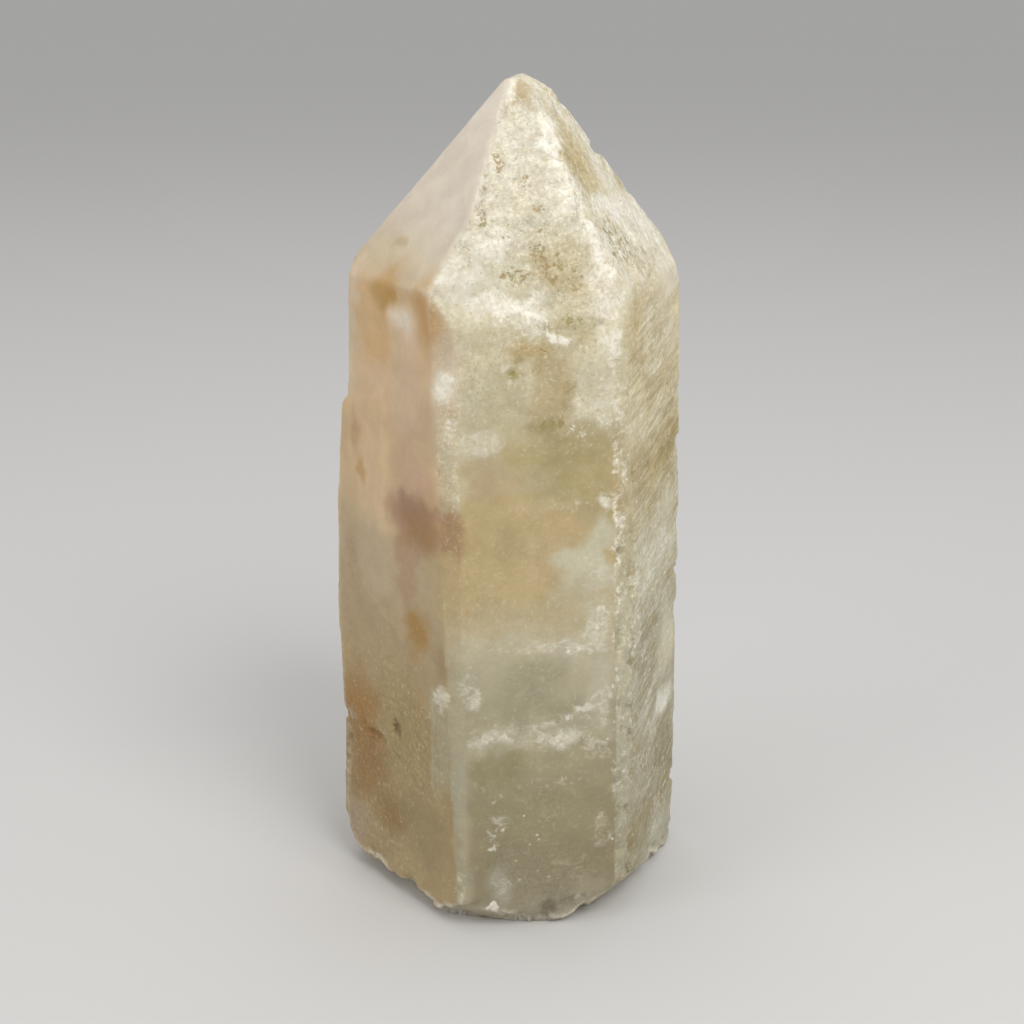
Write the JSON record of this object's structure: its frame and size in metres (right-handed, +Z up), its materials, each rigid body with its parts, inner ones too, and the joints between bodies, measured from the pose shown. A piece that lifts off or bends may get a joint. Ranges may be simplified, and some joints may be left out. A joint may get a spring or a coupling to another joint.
{
  "type": "quartz crystal",
  "caption": "Upright six-sided milky quartz crystal with a pointed top, worn edges and a flat broken root to stand on.",
  "frame": {"origin": "on the flat of the broken root, where the crystal's long axis meets it", "axes": "+Z up along the long axis from the root to the point, -Y towards the front, +X to the right seen from the front"},
  "size_m": [0.0434, 0.0404, 0.1001],
  "materials": {
    "milky_quartz": "milky and slightly translucent, frosted and pitted, with tan and peach stains"
  },
  "bodies": {
    "root": {"crystal": "milky_quartz"}
  },
  "joints": []
}
